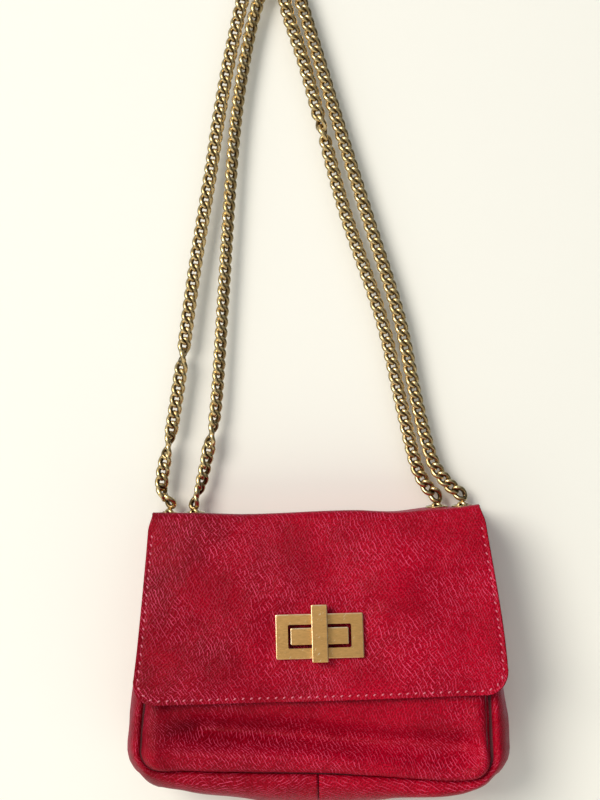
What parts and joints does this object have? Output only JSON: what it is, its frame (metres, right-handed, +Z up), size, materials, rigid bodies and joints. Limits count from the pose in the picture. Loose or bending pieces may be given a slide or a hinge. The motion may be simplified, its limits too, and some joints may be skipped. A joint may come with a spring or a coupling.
{
  "type": "small leather shoulder bag",
  "caption": "Small flap shoulder bag in pebbled leather with a turn lock and a doubled curb chain strap, stored hanging by its chain.",
  "frame": {"origin": "the point where a hook or a hand holds the chain strap, on the underside of the inner run's turn", "axes": "+Z up, the bag's front faces -Y, and +X is to the right of someone who looks at the front"},
  "size_m": [0.199, 0.0557, 0.4473],
  "materials": {
    "pebbled_leather": "crimson pebbled leather, semi-gloss",
    "smooth_leather": "dark red smooth leather",
    "lining_cloth": "dark red woven lining",
    "board": "fibreboard",
    "brushed_gold": "brushed warm gold plate",
    "antique_gold": "polished antique gold plate",
    "steel": "plain plated steel"
  },
  "bodies": {
    "strap": {"chain_outer": "antique_gold", "chain_inner": "antique_gold"},
    "bag": {"back_panel": "pebbled_leather", "base_board": "board", "chain_inside_left": "antique_gold", "chain_inside_right": "antique_gold", "eyelet_left_inner": "antique_gold", "eyelet_left_outer": "antique_gold", "eyelet_right_inner": "antique_gold", "eyelet_right_outer": "antique_gold", "eyelet_washer_left_inner": "steel", "eyelet_washer_left_outer": "steel", "eyelet_washer_right_inner": "steel", "eyelet_washer_right_outer": "steel", "front_facing": "smooth_leather", "front_panel": "pebbled_leather", "gusset_left": "pebbled_leather", "gusset_right": "pebbled_leather", "inner_pocket": "lining_cloth", "lining_back": "lining_cloth", "lining_front": "lining_cloth", "lining_gusset": "lining_cloth", "lock_base": "brushed_gold", "lock_base_screw_left": "steel", "lock_base_screw_right": "steel", "lock_inner_plate": "steel", "yoke": "pebbled_leather", "yoke_lining": "lining_cloth"},
    "flap_spine": {"flap_spine": "pebbled_leather", "flap_spine_lining": "smooth_leather"},
    "flap_front": {"flap_front": "pebbled_leather", "flap_front_lining": "smooth_leather", "lock_backing_plate": "steel", "lock_plate": "brushed_gold", "plate_screw_1": "steel", "plate_screw_2": "steel", "plate_screw_3": "steel", "plate_screw_4": "steel"},
    "toggle": {"lock_toggle": "brushed_gold", "lock_spindle": "steel", "lock_clip": "steel"}
  },
  "joints": [
    {"name": "bag_swing", "type": "hinge", "parent": "strap", "child": "bag", "pos_m": [0.0165, 0, -0.2782], "axis": [1, 0, 0], "range_deg": [-10, 90]},
    {"name": "flap_open", "type": "hinge", "parent": "bag", "child": "flap_spine", "pos_m": [0.0165, -0.00675, -0.282], "axis": [-1, 0, 0], "range_deg": [0, 76]},
    {"name": "flap_fold", "type": "hinge", "parent": "flap_spine", "child": "flap_front", "pos_m": [0.0165, -0.02502, -0.2794], "axis": [-1, 0, 0], "range_deg": [0, 60.8]},
    {"name": "lock_turn", "type": "hinge", "parent": "bag", "child": "toggle", "pos_m": [0.0165, -0.03914, -0.34273], "axis": [0, -0.989, 0.1478], "range_deg": [0, 90]}
  ],
  "couplings": [
    {"joint": "flap_fold", "follows": "flap_open", "ratio": 0.8}
  ]
}
